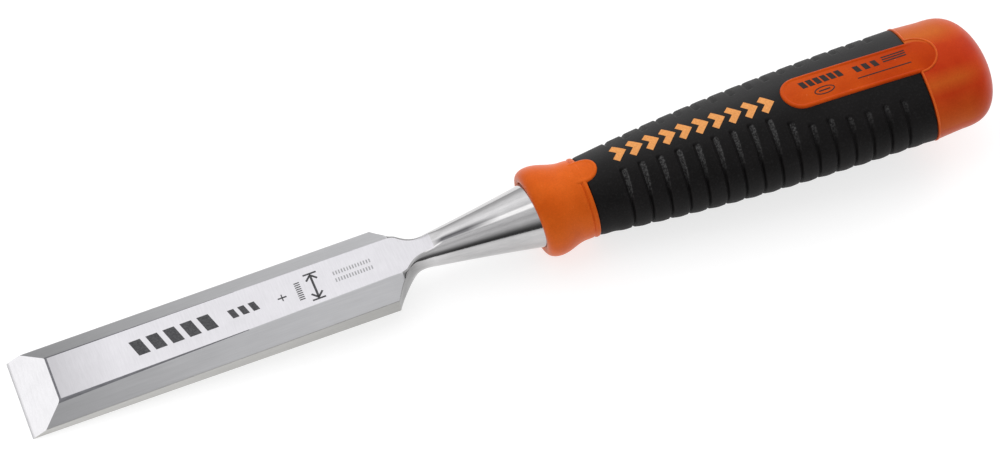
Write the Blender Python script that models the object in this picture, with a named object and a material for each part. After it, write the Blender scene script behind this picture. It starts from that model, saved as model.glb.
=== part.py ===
"""A 25 mm bevel-edged bench chisel with a two-material handle, as it lies on a bench.

The tool has its own frame. Its x runs from the cutting edge (0) back along the axis to the
butt, y runs across the blade, and z rises from the flat back (0) to the bevelled face. All
dimensions below are in millimetres in that frame. Every part hangs from one empty, which lays
the tool down: it rests on its cutting edge and on the lip of the handle's collar.
"""

import math

import bmesh
import bpy
import numpy as np

MM = 0.001  # metres in a millimetre
GAP = 0.3  # between two parts that touch
RING_POINTS = 40  # points round each section of the handle parts

# The axis of the neck, tang and handle, above the flat back.
AXIS_HEIGHT = 4.3

# Blade: a flat back, a low square land along each side, and a bevel up to the narrow top face.
EDGE_WIDTH = 25.0
SHOULDER_X = 99.2
SHOULDER_WIDTH = 24.1
LAND_AT_EDGE = 1.8
LAND_AT_SHOULDER = 4.2
TOP_FACE_AT_EDGE = 14.4
TOP_FACE_AT_SHOULDER = 11.9
THICKNESS_AT_EDGE = 4.2
THICKNESS_AT_SHOULDER = 7.2
GRIND_ANGLE = math.radians(25)

# Neck and bolster: the shoulders sweep in to a waist, and a round cone grows from it.
WAIST_X = 109.5
WAIST_RADIUS = 4.2
SHOULDER_SWEEP = 2.2  # power of the fillet between the shoulders and the waist
ROUNDING_STARTS_X = 101.5
FULLY_ROUND_X = 109.0
RUN_OUT_X = 105.0  # where the ground top face starts to lift out of the neck
RUN_OUT_CURVE = 0.0207  # its rise is this times the distance squared
CONE_START_X = 112.0
CONE_END_X = 143.0
CONE_SLOPE = 0.157
CONE_RADIUS_AT_END = 9.35

# Tang: a square spike that tapers into the handle.
TANG_END_X = 206.0
TANG_SIDE_AT_CONE = 8.0
TANG_SIDE_AT_END = 4.5

# Front collar of the handle: a rolled lip round the bolster, then a shallow waist.
LIP_FRONT_X = 139.5
LIP_CREST_X = 143.4
LIP_FRONT_RADIUS = 9.9
LIP_CREST_RADIUS = 12.35
COLLAR_WAIST_RADIUS = 10.7
COLLAR_WAIST_LENGTH = 8.0

# The handle's oval section: (x, half width, half height).
HANDLE_STATIONS = (
    (154.9, 10.7, 10.45),
    (165.0, 12.1, 11.1),
    (180.0, 13.9, 11.9),
    (200.0, 15.6, 12.5),
    (225.0, 16.9, 12.6),
    (247.3, 17.4, 12.2),
)
GRIP_FRONT_X = 154.9
GRIP_BACK_X = 247.0
GRIP_THICKNESS = 2.2

# Ribbed grip: ring grooves that stop short of a smooth band along the top.
GROOVE_COUNT = 16
FIRST_GROOVE_X = 164.2
GROOVE_PITCH = 5.0
GROOVE_WIDTH = 1.3
GROOVE_FLOOR_WIDTH = 0.5
GROOVE_DEPTH = 0.8
BAND_HALF_WIDTH = 3.3
BAND_BESIDE_PANEL = 9.6
BAND_WIDENS_FROM_X = 206.0
BAND_WIDENS_TO_X = 216.0

# Label panel: a raised tongue of the core, rounded at both ends, narrower at the front.
PANEL_FRONT_X = 210.5
PANEL_BACK_X = 253.9
PANEL_FRONT_RADIUS = 4.9
PANEL_BACK_RADIUS = 5.6
PANEL_RISE = 0.3

# Lobe: the collar's round tab, which laps into the grip on top.
LOBE_BACK_X = 158.8
LOBE_RADIUS = 3.8
LOBE_RISE = 0.15

# Striking cap: a tapered skirt, then a dome with a full shoulder.
CAP_FRONT_X = 247.3
DOME_START_X = 255.0
DOME_END_X = 267.9
DOME_HALF_WIDTH = 16.8
DOME_HALF_HEIGHT = 11.8
CAP_WALL = 3.0
STUB_END_X = 261.0


def mix(a, b, share):
    return a + (b - a) * share


def share_of(x, start, end):
    """How far x is from start to end, kept between 0 and 1."""
    return min(max((x - start) / (end - start), 0.0), 1.0)


def ease(share):
    return share * share * (3 - 2 * share)


def stations_at(x):
    """Half width and half height of the handle at x, on a smooth curve through its stations."""
    table = HANDLE_STATIONS
    x = min(max(x, table[0][0]), table[-1][0])
    i = max(k for k in range(len(table) - 1) if table[k][0] <= x)
    before, start, end, after = (table[min(max(k, 0), len(table) - 1)] for k in range(i - 1, i + 3))
    span = end[0] - start[0]
    t = (x - start[0]) / span
    sizes = []
    for axis in (1, 2):
        leave = (end[axis] - before[axis]) / (end[0] - before[0]) * span
        arrive = (after[axis] - start[axis]) / (after[0] - start[0]) * span
        sizes.append(
            start[axis] * (1 + 2 * t) * (1 - t) ** 2
            + leave * t * (1 - t) ** 2
            + end[axis] * t * t * (3 - 2 * t)
            + arrive * t * t * (t - 1)
        )
    return sizes


def handle_size(x):
    """Half width and half height of the handle's outside, from the grip to the end of the dome."""
    if x <= CAP_FRONT_X:
        return stations_at(x)
    width, height = stations_at(CAP_FRONT_X)
    skirt = share_of(x, CAP_FRONT_X, DOME_START_X)
    dome = share_of(x, DOME_START_X, DOME_END_X)
    fall = math.sqrt(1 - dome**3)
    return mix(width, DOME_HALF_WIDTH, skirt) * fall, mix(height, DOME_HALF_HEIGHT, skirt) * fall


def oval(x, half_width, half_height, points=RING_POINTS):
    """A ring of points round the handle's axis."""
    turns = [2 * math.pi * k / points for k in range(points)]
    return [
        (x, half_width * math.cos(turn), AXIS_HEIGHT + half_height * math.sin(turn))
        for turn in turns
    ]


def handle_ring(x, inset=0.0):
    width, height = handle_size(x)
    return oval(x, width - inset, height - inset)


def round_ring(x, radius):
    return oval(x, radius, radius)


def steps(start, end, count):
    return [mix(start, end, k / count) for k in range(count + 1)]


def finish(name, bm, material, parent):
    """Turns a bmesh in millimetres into a smooth-shaded object under the tool's empty."""
    bmesh.ops.scale(bm, vec=(MM, MM, MM), verts=bm.verts)
    bmesh.ops.recalc_face_normals(bm, faces=bm.faces)
    mesh = bpy.data.meshes.new(name)
    bm.to_mesh(mesh)
    bm.free()
    mesh.shade_smooth()
    mesh.set_sharp_from_angle(angle=math.radians(30))
    part = bpy.data.objects.new(name, mesh)
    bpy.context.collection.objects.link(part)
    part.parent = parent
    if material:
        mesh.materials.append(material)
    else:
        part.hide_render = True
        part.display_type = "WIRE"
    return part


def loft(name, rings, parent, material=None, closed=False):
    """A skin through the rings: flat at both ends, or joined from the last ring to the first."""
    bm = bmesh.new()
    loops = [[bm.verts.new(point) for point in ring] for ring in rings]
    pairs = list(zip(loops, loops[1:]))
    if closed:
        pairs.append((loops[-1], loops[0]))
    for one, other in pairs:
        for k in range(len(one)):
            bm.faces.new((one[k - 1], one[k], other[k], other[k - 1]))
    if not closed:
        bm.faces.new(loops[0])
        bm.faces.new(loops[-1])
    return finish(name, bm, material, parent)


def prism(name, outline, low, high, parent):
    """A helper solid: a flat outline in x and y, extruded along z."""
    bm = bmesh.new()
    base = bm.faces.new([bm.verts.new((x, y, low)) for x, y in outline])
    raised = bmesh.ops.extrude_face_region(bm, geom=[base])["geom"]
    corners = [item for item in raised if isinstance(item, bmesh.types.BMVert)]
    bmesh.ops.translate(bm, vec=(0, 0, high - low), verts=corners)
    return finish(name, bm, None, parent)


def combine(part, operation, other):
    modifier = part.modifiers.new(f"{operation.lower()} {other.name}", "BOOLEAN")
    modifier.operation = operation
    modifier.object = other
    modifier.solver = "EXACT"


def tongue(front_x, back_x, front_radius, back_radius, grow=0.0):
    """The outline of a tab with two round ends, on the tool's centre line."""
    arc = 10
    front = front_x + front_radius
    back = back_x - back_radius
    lean = math.asin((back_radius - front_radius) / (back - front))
    turns = steps(-math.pi / 2 - lean, math.pi / 2 + lean, arc)
    outline = [
        (back + (back_radius + grow) * math.cos(turn), (back_radius + grow) * math.sin(turn))
        for turn in turns
    ]
    turns = steps(math.pi / 2 + lean, 3 * math.pi / 2 - lean, arc)
    outline += [
        (front + (front_radius + grow) * math.cos(turn), (front_radius + grow) * math.sin(turn))
        for turn in turns
    ]
    return outline


def panel_outline(grow=0.0):
    return tongue(PANEL_FRONT_X, PANEL_BACK_X, PANEL_FRONT_RADIUS, PANEL_BACK_RADIUS, grow)


def lobe_outline(grow=0.0):
    """The lobe starts inside the collar, so only its round end shows past the grip's edge."""
    front_x = GRIP_FRONT_X - 2 * LOBE_RADIUS
    return tongue(front_x, LOBE_BACK_X, LOBE_RADIUS - 0.01, LOBE_RADIUS, grow)


# ---- blade ----------------------------------------------------------------------------------

# Points along each side of a blade section: across the back, up a land, up a bevel, over the top.
BACK_STEPS, LAND_STEPS, BEVEL_STEPS, TOP_STEPS = 10, 3, 6, 12
# Where the same corners sit on a round section, as angles from +y.
BACK_CORNER, LAND_CORNER, TOP_CORNER = (math.radians(angle) for angle in (-50, -10, 55))


def cone_radius(x):
    """Radius of the neck and bolster behind the shoulders."""
    cone = CONE_RADIUS_AT_END - CONE_SLOPE * (CONE_END_X - x)
    if x >= CONE_START_X:
        return cone
    start = CONE_RADIUS_AT_END - CONE_SLOPE * (CONE_END_X - CONE_START_X)
    return mix(WAIST_RADIUS, start, share_of(x, WAIST_X, CONE_START_X) ** 2)


def neck_half_width(x):
    if x >= WAIST_X:
        return cone_radius(x)
    sweep = ((WAIST_X - x) / (WAIST_X - SHOULDER_X)) ** SHOULDER_SWEEP
    return WAIST_RADIUS + (SHOULDER_WIDTH / 2 - WAIST_RADIUS) * sweep


def top_height(x):
    """Height of the ground top face, which runs out upwards into the neck."""
    rise = RUN_OUT_CURVE * max(x - RUN_OUT_X, 0) ** 2
    return mix(THICKNESS_AT_EDGE, THICKNESS_AT_SHOULDER, min(x / SHOULDER_X, 1)) + rise


def section_corners(x):
    """The three corners on one side of a blade section: back, land and top face.

    Behind the shoulders the same section is cut off square along the neck's plan outline.
    """
    along = min(x / SHOULDER_X, 1)
    half = mix(EDGE_WIDTH, SHOULDER_WIDTH, along) / 2
    top = mix(TOP_FACE_AT_EDGE, TOP_FACE_AT_SHOULDER, along) / 2
    land = mix(LAND_AT_EDGE, LAND_AT_SHOULDER, along)
    if x > SHOULDER_X:
        cut = neck_half_width(x)
        land = mix(land, THICKNESS_AT_SHOULDER, share_of(half - cut, 0, half - top))
        top = min(top, 0.98 * cut)
        half = cut
    return (half, 0.0), (half, land), (top, top_height(x))


def walk(corners, counts):
    """Points along a path of corners, a given count to each stretch, without the last corner."""
    points = []
    for start, end, count in zip(corners, corners[1:], counts):
        points += [(mix(start[0], end[0], k / count), mix(start[1], end[1], k / count)) for k in range(count)]
    return points


def flat_section(x):
    """(y, z) round a blade section, from the back's left corner and up the right side."""
    back, land, top = section_corners(x)
    left_back, left_land, left_top = ((-y, z) for y, z in (back, land, top))
    path = (left_back, back, land, top, left_top, left_land, left_back)
    return walk(path, (BACK_STEPS, LAND_STEPS, BEVEL_STEPS, TOP_STEPS, BEVEL_STEPS, LAND_STEPS))


def section_angles():
    """The angle that each point of a blade section takes when the section is round."""
    path = (
        (-math.pi - BACK_CORNER, 0),
        (BACK_CORNER, 0),
        (LAND_CORNER, 0),
        (TOP_CORNER, 0),
        (math.pi - TOP_CORNER, 0),
        (math.pi - LAND_CORNER, 0),
        (math.pi - BACK_CORNER, 0),
    )
    counts = (BACK_STEPS, LAND_STEPS, BEVEL_STEPS, TOP_STEPS, BEVEL_STEPS, LAND_STEPS)
    return [angle for angle, _ in walk(path, counts)]


def round_section(radius):
    return [
        (radius * math.cos(angle), AXIS_HEIGHT + radius * math.sin(angle))
        for angle in section_angles()
    ]


def square_section(side):
    points = []
    for angle in section_angles():
        reach = side / 2 / max(abs(math.cos(angle)), abs(math.sin(angle)))
        points.append((reach * math.cos(angle), AXIS_HEIGHT + reach * math.sin(angle)))
    return points


def neck_section(x):
    """The section between the shoulders and the cone, part flat-sided and part round."""
    lift = RUN_OUT_CURVE * max(x - RUN_OUT_X, 0) ** 2
    high, low = top_height(x), -lift
    share = ease(share_of(x, ROUNDING_STARTS_X, FULLY_ROUND_X))
    section = []
    for flat, full in zip(flat_section(x), round_section(neck_half_width(x))):
        y, z = mix(flat[0], full[0], share), mix(flat[1], full[1], share)
        section.append((y, min(max(z, low), high)))
    return section


def grind_ring():
    """The front ring, where the ground bevel cuts the blade off down to the cutting edge."""
    ring = []
    for index in range(RING_POINTS):
        x = 0.0
        for _ in range(8):
            y, z = flat_section(x)[index]
            x = z / math.tan(GRIND_ANGLE)
        ring.append((x, y, z))
    return ring


def blade_rings():
    grind_end_x = max(x for x, _, _ in grind_ring())
    rings = [grind_ring()]
    rings += [[(x, y, z) for y, z in flat_section(x)] for x in (grind_end_x + 1, SHOULDER_X)]
    rings += [
        [(x, y, z) for y, z in neck_section(x)] for x in steps(SHOULDER_X, CONE_START_X + 3, 16)[1:]
    ]
    rings += [[(x, y, z) for y, z in round_section(cone_radius(x))] for x in (128.0, CONE_END_X)]
    for x, side in ((CONE_END_X, TANG_SIDE_AT_CONE), (TANG_END_X, TANG_SIDE_AT_END)):
        rings.append([(x, y, z) for y, z in square_section(side)])
    return rings


def blade(parent):
    return loft("blade", blade_rings(), parent, steel())


# ---- handle core ----------------------------------------------------------------------------


def collar_rings():
    """The rolled lip, then the waist behind it, up to the front of the grip."""
    rings = []
    for turn in steps(0, math.pi / 2, 5):
        x = LIP_CREST_X - (LIP_CREST_X - LIP_FRONT_X) * math.cos(turn)
        radius = LIP_FRONT_RADIUS + (LIP_CREST_RADIUS - LIP_FRONT_RADIUS) * math.sin(turn)
        rings.append(round_ring(x, radius))
    for share in steps(0, 1, 5)[1:]:
        fall = (1 - math.cos(math.pi * share)) / 2
        x = LIP_CREST_X + COLLAR_WAIST_LENGTH * share
        rings.append(round_ring(x, mix(LIP_CREST_RADIUS, COLLAR_WAIST_RADIUS, fall)))
    rings.append(handle_ring(GRIP_FRONT_X - GAP))
    return rings


def core_rings():
    """The collar, the plain spindle that the grip is moulded on, and the stub inside the cap."""
    under_grip = GRIP_THICKNESS + GAP
    rings = collar_rings()
    rings += [handle_ring(x, under_grip) for x in steps(GRIP_FRONT_X - GAP, CAP_FRONT_X - GAP, 8)]
    stub_inset = CAP_WALL + GAP
    rings += [
        handle_ring(CAP_FRONT_X - GAP, stub_inset),
        handle_ring(DOME_START_X, stub_inset),
        handle_ring(STUB_END_X - GAP, stub_inset),
    ]
    return rings


def raised_tab(name, outline, rise, parent):
    """A tab of the core that stands up through the grip, and follows the handle's own curve."""
    tab = prism(name, outline, AXIS_HEIGHT + 5, AXIS_HEIGHT + 18, parent)
    stretch = steps(GRIP_FRONT_X - 4, DOME_START_X + 3, 20)
    skin = loft(f"{name} skin", [handle_ring(x, -rise) for x in stretch], parent)
    combine(tab, "INTERSECT", skin)
    return tab


def tang_hole(parent):
    """The socket for the bolster and the square hole for the tang, a gap larger all round."""
    socket = [
        [(x, y, z) for y, z in round_section(cone_radius(x) + GAP)]
        for x in (LIP_FRONT_X - 3, CONE_END_X + GAP)
    ]
    hole = [
        [(x, y, z) for y, z in square_section(side + 2 * GAP)]
        for x, side in (
            (CONE_END_X + GAP, TANG_SIDE_AT_CONE),
            (TANG_END_X + GAP, TANG_SIDE_AT_END),
        )
    ]
    return loft("tang hole", socket + hole, parent)


def handle_core(parent):
    core = loft("handle_core", core_rings(), parent, moulded("core orange", (0.71, 0.14, 0.02)))
    combine(core, "UNION", raised_tab("panel tab", panel_outline(), PANEL_RISE, parent))
    combine(core, "UNION", raised_tab("lobe tab", lobe_outline(), LOBE_RISE, parent))
    combine(core, "DIFFERENCE", tang_hole(parent))
    return core


# ---- grip sleeve ----------------------------------------------------------------------------


def groove_profile():
    """(x, depth) down the grip: each groove has two lips and a narrow floor."""
    profile = [(GRIP_FRONT_X, 0.0)]
    for index in range(GROOVE_COUNT):
        middle = FIRST_GROOVE_X + index * GROOVE_PITCH
        profile += [
            (middle - GROOVE_WIDTH / 2, 0.0),
            (middle - GROOVE_FLOOR_WIDTH / 2, GROOVE_DEPTH),
            (middle + GROOVE_FLOOR_WIDTH / 2, GROOVE_DEPTH),
            (middle + GROOVE_WIDTH / 2, 0.0),
        ]
    return profile + [(GRIP_BACK_X, 0.0)]


def grooved_ring(x, depth):
    """A ring of the grip, pressed in by depth except on the smooth band along the top."""
    widening = ease(share_of(x, BAND_WIDENS_FROM_X, BAND_WIDENS_TO_X))
    band = mix(BAND_HALF_WIDTH, BAND_BESIDE_PANEL, widening)
    ring = []
    for plain, pressed in zip(handle_ring(x), handle_ring(x, depth)):
        on_band = plain[2] > AXIS_HEIGHT and abs(plain[1]) < band
        ring.append(plain if on_band else pressed)
    return ring


def grip_sleeve(parent):
    outside = [grooved_ring(x, depth) for x, depth in groove_profile()]
    inside = [handle_ring(x, GRIP_THICKNESS) for x in steps(GRIP_BACK_X, GRIP_FRONT_X, 8)]
    grip = loft("grip_sleeve", outside + inside, parent, rubber(), closed=True)
    low, high = AXIS_HEIGHT, AXIS_HEIGHT + 20
    combine(grip, "DIFFERENCE", prism("panel window", panel_outline(GAP), low, high, parent))
    combine(grip, "DIFFERENCE", prism("lobe window", lobe_outline(GAP), low, high, parent))
    return grip


# ---- striking cap ---------------------------------------------------------------------------


def striking_cap(parent):
    dome = [DOME_END_X - (DOME_END_X - DOME_START_X) * (1 - k / 9) ** 2.2 for k in range(9)]
    outside = [handle_ring(DOME_END_X - 0.03)]
    outside += [handle_ring(x) for x in reversed(dome)]
    outside += [handle_ring(x) for x in (mix(CAP_FRONT_X, DOME_START_X, 0.5), CAP_FRONT_X)]
    inside = [handle_ring(x, CAP_WALL) for x in (CAP_FRONT_X, DOME_START_X, STUB_END_X)]
    cap = loft("striking_cap", outside + inside, parent, moulded("cap orange", (0.55, 0.07, 0.01)))
    notch = prism("panel notch", panel_outline(GAP), AXIS_HEIGHT, AXIS_HEIGHT + 20, parent)
    combine(cap, "DIFFERENCE", notch)
    return cap


# ---- materials ------------------------------------------------------------------------------


def principled(name, colour, roughness, metallic=0.0):
    material = bpy.data.materials.new(name)
    material.use_nodes = True
    shader = material.node_tree.nodes["Principled BSDF"]
    shader.inputs["Base Color"].default_value = (*colour, 1)
    shader.inputs["Roughness"].default_value = roughness
    shader.inputs["Metallic"].default_value = metallic
    return material


def steel():
    return principled("ground steel", (0.62, 0.62, 0.63), 0.28, metallic=1.0)


def rubber():
    return principled("grip black", (0.012, 0.011, 0.011), 0.55)


def moulded(name, colour):
    return principled(name, colour, 0.4)


# ---- assembly -------------------------------------------------------------------------------


def tool_points(parts):
    """All vertices of the finished parts, in the tool's frame, in metres."""
    graph = bpy.context.evaluated_depsgraph_get()
    return np.array([tuple(v.co) for part in parts for v in part.evaluated_get(graph).data.vertices])


def lay_down(tool, parts):
    """Turns the tool until its edge and its handle touch z = 0, and centres its box on the origin."""
    points = tool_points(parts)
    behind = points[points[:, 0] > CONE_END_X * MM]
    tilt = max(math.atan2(-z, x) for x, _, z in behind)
    turned_x = points[:, 0] * math.cos(tilt) - points[:, 2] * math.sin(tilt)
    turned_z = points[:, 0] * math.sin(tilt) + points[:, 2] * math.cos(tilt)
    tool.rotation_euler = (0, -tilt, 0)
    tool.location = (-(turned_x.min() + turned_x.max()) / 2, 0, -turned_z.min())


def main():
    for leftover in list(bpy.data.objects):
        bpy.data.objects.remove(leftover)
    tool = bpy.data.objects.new("chisel", None)
    bpy.context.collection.objects.link(tool)
    parts = [blade(tool), handle_core(tool), grip_sleeve(tool), striking_cap(tool)]
    bpy.context.view_layer.update()
    lay_down(tool, parts)
    bpy.context.view_layer.update()


main()
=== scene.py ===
"""The looks of a 25 mm bevel-edged bench chisel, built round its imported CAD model.

Every piece is modelled in the tool's own frame, in millimetres: x runs from the cutting edge (0)
back to the butt, y runs across the blade, and z rises from the flat back (0). laid_down() puts
finished points where the CAD model lies.
"""

import math

import bpy
import numpy as np
from mathutils import Euler, Matrix, Vector


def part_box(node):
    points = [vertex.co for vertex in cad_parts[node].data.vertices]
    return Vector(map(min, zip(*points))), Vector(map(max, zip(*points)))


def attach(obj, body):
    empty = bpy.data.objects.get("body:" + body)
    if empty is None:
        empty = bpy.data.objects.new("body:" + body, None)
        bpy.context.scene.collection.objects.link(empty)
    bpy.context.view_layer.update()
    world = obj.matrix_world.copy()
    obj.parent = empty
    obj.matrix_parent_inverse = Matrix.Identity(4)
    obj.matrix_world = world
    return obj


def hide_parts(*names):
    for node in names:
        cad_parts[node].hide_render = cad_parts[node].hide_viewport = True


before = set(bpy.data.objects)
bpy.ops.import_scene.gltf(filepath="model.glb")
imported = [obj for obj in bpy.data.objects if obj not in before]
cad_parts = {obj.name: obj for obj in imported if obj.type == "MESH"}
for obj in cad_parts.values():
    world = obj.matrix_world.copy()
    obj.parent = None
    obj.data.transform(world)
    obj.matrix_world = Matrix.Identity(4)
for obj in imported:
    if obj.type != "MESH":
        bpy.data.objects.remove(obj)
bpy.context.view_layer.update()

MM = 0.001  # metres in a millimetre
EDGE_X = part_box("blade")[0].x  # where the cutting edge lies, in metres
LAY_ANGLE = math.radians(3.2130228)  # the tool's tilt, resting on its edge and its collar
AXIS_HEIGHT = 4.3  # the handle's axis above the flat back

# Blade sections: (edge, shoulder) values.
SHOULDER_X = 99.2
HALF_WIDTH = (12.5, 12.05)
LAND_HEIGHT = (1.8, 4.2)
TOP_HALF_WIDTH = (7.2, 5.95)
THICKNESS = (4.2, 7.2)
GRIND_ANGLE = math.radians(25)
HONED_ANGLE = math.radians(36)
HONED_HEIGHT = 0.34
EDGE_BREAK = 0.1  # how far the blade's edges are broken
WIDE_BREAK = 0.62  # the top face's near the tip
WIDE_BREAK_ENDS_X = 62.0

# Neck and cone.
WAIST_X, WAIST_RADIUS, SHOULDER_SWEEP = 109.5, 4.2, 2.2
ROUNDING_STARTS_X, FULLY_ROUND_X = 101.5, 109.0
RUN_OUT_X, RUN_OUT_CURVE = 105.0, 0.0207
CONE_START_X, CONE_END_X, CONE_SLOPE, CONE_RADIUS_AT_END = 112.0, 143.0, 0.157, 9.35
CONE_HOLLOW = 0.17  # how far its sides bend in, half way along
TANG_END_X, TANG_SIDES = 206.0, (8.0, 4.5)

# Collar.
LIP_FRONT_X, LIP_CREST_X = 139.5, 143.4
LIP_FRONT_RADIUS, LIP_CREST_RADIUS = 9.9, 12.35
COLLAR_WAIST_RADIUS, COLLAR_WAIST_LENGTH = 10.7, 8.0
COLLAR_LEAN = 0.85  # the collar's front leans forward on its far side by this much
FLANGE_LEAN = 0.35
LEAN_ANGLE = math.radians(36)
FLANGE_X, FLANGE_ROUNDS_X, FLANGE_END_X = 153.4, 154.0, 154.75  # a fine groove, then a thin flange

# Grip and cap: (x, half width, half height).
HANDLE_STATIONS = (
    (154.9, 10.7, 10.45),
    (165.0, 12.1, 11.1),
    (180.0, 13.9, 11.9),
    (200.0, 15.6, 12.5),
    (225.0, 16.9, 12.6),
    (247.3, 17.4, 12.2),
)
GRIP_FRONT_X, GRIP_BACK_X, GRIP_THICKNESS = 154.9, 247.0, 2.2
CAP_FRONT_X, DOME_START_X, DOME_END_X = 247.3, 255.0, 267.9
DOME_HALF_WIDTH, DOME_HALF_HEIGHT = 16.8, 11.8
CAP_WALL, STUB_END_X, GAP = 3.0, 261.0, 0.3

# Ring grooves. Each stops at both sides of the smooth band on top, at these angles from +y.
GROOVE_COUNT, FIRST_GROOVE_X, GROOVE_PITCH, GROOVE_DEPTH = 16, 163.9, 5.02, 0.8
NEAR_ENDS = (104, 103, 104, 104, 105, 104, 104, 104, 105, 115, 123, 123, 127, 128, 127, 128)
FAR_ENDS = (57, 60, 60, 60, 60, 62, 61, 61, 62, 58, 55, 54, 53, 53, 53, 53)

# Label panel and lobe, in plan: the tabs that stand up through the grip.
PANEL_FRONT_X, PANEL_BACK_X = 210.5, 253.6
PANEL_RADII = (5.35, 5.15)
PANEL_LEAN = -0.028  # its centre line leans across by this much per millimetre
PANEL_MIDDLE_X = 230.0
LOBE_BACK_X, LOBE_RADIUS, LOBE_ACROSS = 158.8, 3.9, 0.9


# ---- small helpers ----


def mix(a, b, share):
    return a + (b - a) * share


def share_of(x, start, end):
    return min(max((x - start) / (end - start), 0.0), 1.0)


def ease(share):
    return share * share * (3 - 2 * share)


def steps(start, end, count):
    return [mix(start, end, k / count) for k in range(count + 1)]


def unit(run):
    return run / np.linalg.norm(run)


def mean(one, other):
    """The average of two pairs of colours."""
    return tuple(tuple((a + b) / 2 for a, b in zip(*pair)) for pair in zip(one, other))


def soft_min(value, limit, softness):
    """The lower of the two, with the corner between them rounded."""
    if softness <= 0:
        return min(value, limit)
    share = min(max(0.5 + 0.5 * (limit - value) / softness, 0.0), 1.0)
    return mix(limit, value, share) - softness * share * (1 - share)


# ---- handle outline ----


def stations_at(x):
    """Half width and half height of the handle at x, on a smooth curve through its stations."""
    table = HANDLE_STATIONS
    x = min(max(x, table[0][0]), table[-1][0])
    i = max(k for k in range(len(table) - 1) if table[k][0] <= x)
    before, start, end, after = (table[min(max(k, 0), len(table) - 1)] for k in range(i - 1, i + 3))
    span = end[0] - start[0]
    t = (x - start[0]) / span
    sizes = []
    for axis in (1, 2):
        leave = (end[axis] - before[axis]) / (end[0] - before[0]) * span
        arrive = (after[axis] - start[axis]) / (after[0] - start[0]) * span
        sizes.append(
            start[axis] * (1 + 2 * t) * (1 - t) ** 2
            + leave * t * (1 - t) ** 2
            + end[axis] * t * t * (3 - 2 * t)
            + arrive * t * t * (t - 1)
        )
    return sizes


def collar_radius(x):
    if x <= LIP_CREST_X:
        rise = math.sqrt(max(1 - ((LIP_CREST_X - x) / (LIP_CREST_X - LIP_FRONT_X)) ** 2, 0))
        return mix(LIP_FRONT_RADIUS, LIP_CREST_RADIUS, rise)
    fall = (1 - math.cos(math.pi * share_of(x, LIP_CREST_X, LIP_CREST_X + COLLAR_WAIST_LENGTH))) / 2
    return mix(LIP_CREST_RADIUS, COLLAR_WAIST_RADIUS, fall)


def handle_size(x):
    """Half width and half height of the handle's outside at x, from the collar to the dome."""
    if x < GRIP_FRONT_X:
        radius = collar_radius(x)
        width, height = stations_at(GRIP_FRONT_X)
        share = share_of(x, LIP_CREST_X + COLLAR_WAIST_LENGTH, GRIP_FRONT_X)
        return mix(radius, width, share), mix(radius, height, share)
    if x <= CAP_FRONT_X:
        return stations_at(x)
    width, height = stations_at(CAP_FRONT_X)
    skirt = share_of(x, CAP_FRONT_X, DOME_START_X)
    dome = share_of(x, DOME_START_X, DOME_END_X)
    fall = math.sqrt(max(1 - dome**3, 0))
    return mix(width, DOME_HALF_WIDTH, skirt) * fall, mix(height, DOME_HALF_HEIGHT, skirt) * fall


def handle_top(x, y):
    """Height of the handle's surface above the point (x, y)."""
    width, height = handle_size(x)
    return AXIS_HEIGHT + height * math.sqrt(max(1 - (y / width) ** 2, 0))


def blade_top(x, y):
    return mix(THICKNESS[0], THICKNESS[1], x / SHOULDER_X)


def with_x(x, section):
    return np.column_stack([np.full(len(section), x), section])


def full_turn(points):
    return np.arange(points) * 2 * math.pi / points


def arc(x, y, long, wide, turns):
    """Plan points of an ellipse round (x, y), at these turns from +x."""
    return [(x + long * math.cos(turn), y + wide * math.sin(turn)) for turn in turns]


def oval(x, half_width, half_height, angles):
    y, z = half_width * np.cos(angles), AXIS_HEIGHT + half_height * np.sin(angles)
    return with_x(x, np.column_stack([y, z]))


def square(x, side, angles):
    reach = side / 2 / np.maximum(abs(np.cos(angles)), abs(np.sin(angles)))
    return oval(x, reach, reach, angles)


def handle_ring(x, inset=0.0, points=240):
    width, height = handle_size(x)
    return oval(x, width - inset, height - inset, full_turn(points))


# ---- meshes ----


def skin(rings, start_cap=True, end_cap=True, loop=False):
    """Points and outward faces of a skin through rings that turn from +y to +z."""
    count = len(rings[0])
    points = np.concatenate([np.asarray(ring, float) for ring in rings])
    pairs = [(i, i + 1) for i in range(len(rings) - 1)]
    if loop:
        pairs.append((len(rings) - 1, 0))
    k = np.arange(count)
    after = (k + 1) % count
    faces = []
    for one, other in pairs:
        quads = (one * count + k, one * count + after, other * count + after, other * count + k)
        faces += np.stack(quads, axis=1).tolist()
    if start_cap and not loop:
        faces.append(list(range(count))[::-1])
    if end_cap and not loop:
        faces.append(list(range((len(rings) - 1) * count, len(rings) * count)))
    return points, faces


def slab(rows, height, lift, sink=0.12):
    """A thin closed plate over a grid of (x, y) points, following the surface height(x, y)."""
    plan = np.array(rows, float)
    high, wide = plan.shape[:2]
    flat = plan.reshape(-1, 2)
    level = np.array([height(x, y) for x, y in flat])
    top = np.column_stack([flat, level + lift])
    under = np.column_stack([flat, level - sink])
    size = high * wide
    faces = []
    for i in range(high - 1):
        for j in range(wide - 1):
            a = i * wide + j
            quad = [a, a + 1, a + wide + 1, a + wide]
            faces.append(quad)
            faces.append([size + corner for corner in reversed(quad)])
    grid = np.arange(size).reshape(high, wide)
    border = np.concatenate([grid[0], grid[1:, -1], grid[-1, -2::-1], grid[-2:0:-1, 0]]).tolist()
    for a, b in zip(border, border[1:] + border[:1]):
        faces.append([b, a, size + a, size + b])
    points = np.concatenate([top, under])
    return points, upright(points, faces, faces[0])


def upright(points, faces, upper):
    """Turns every face round if the upper one points down."""
    a, b, c = (points[k] for k in upper[:3])
    if np.cross(b - a, c - a)[2] < 0:
        return [face[::-1] for face in faces]
    return faces


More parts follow.
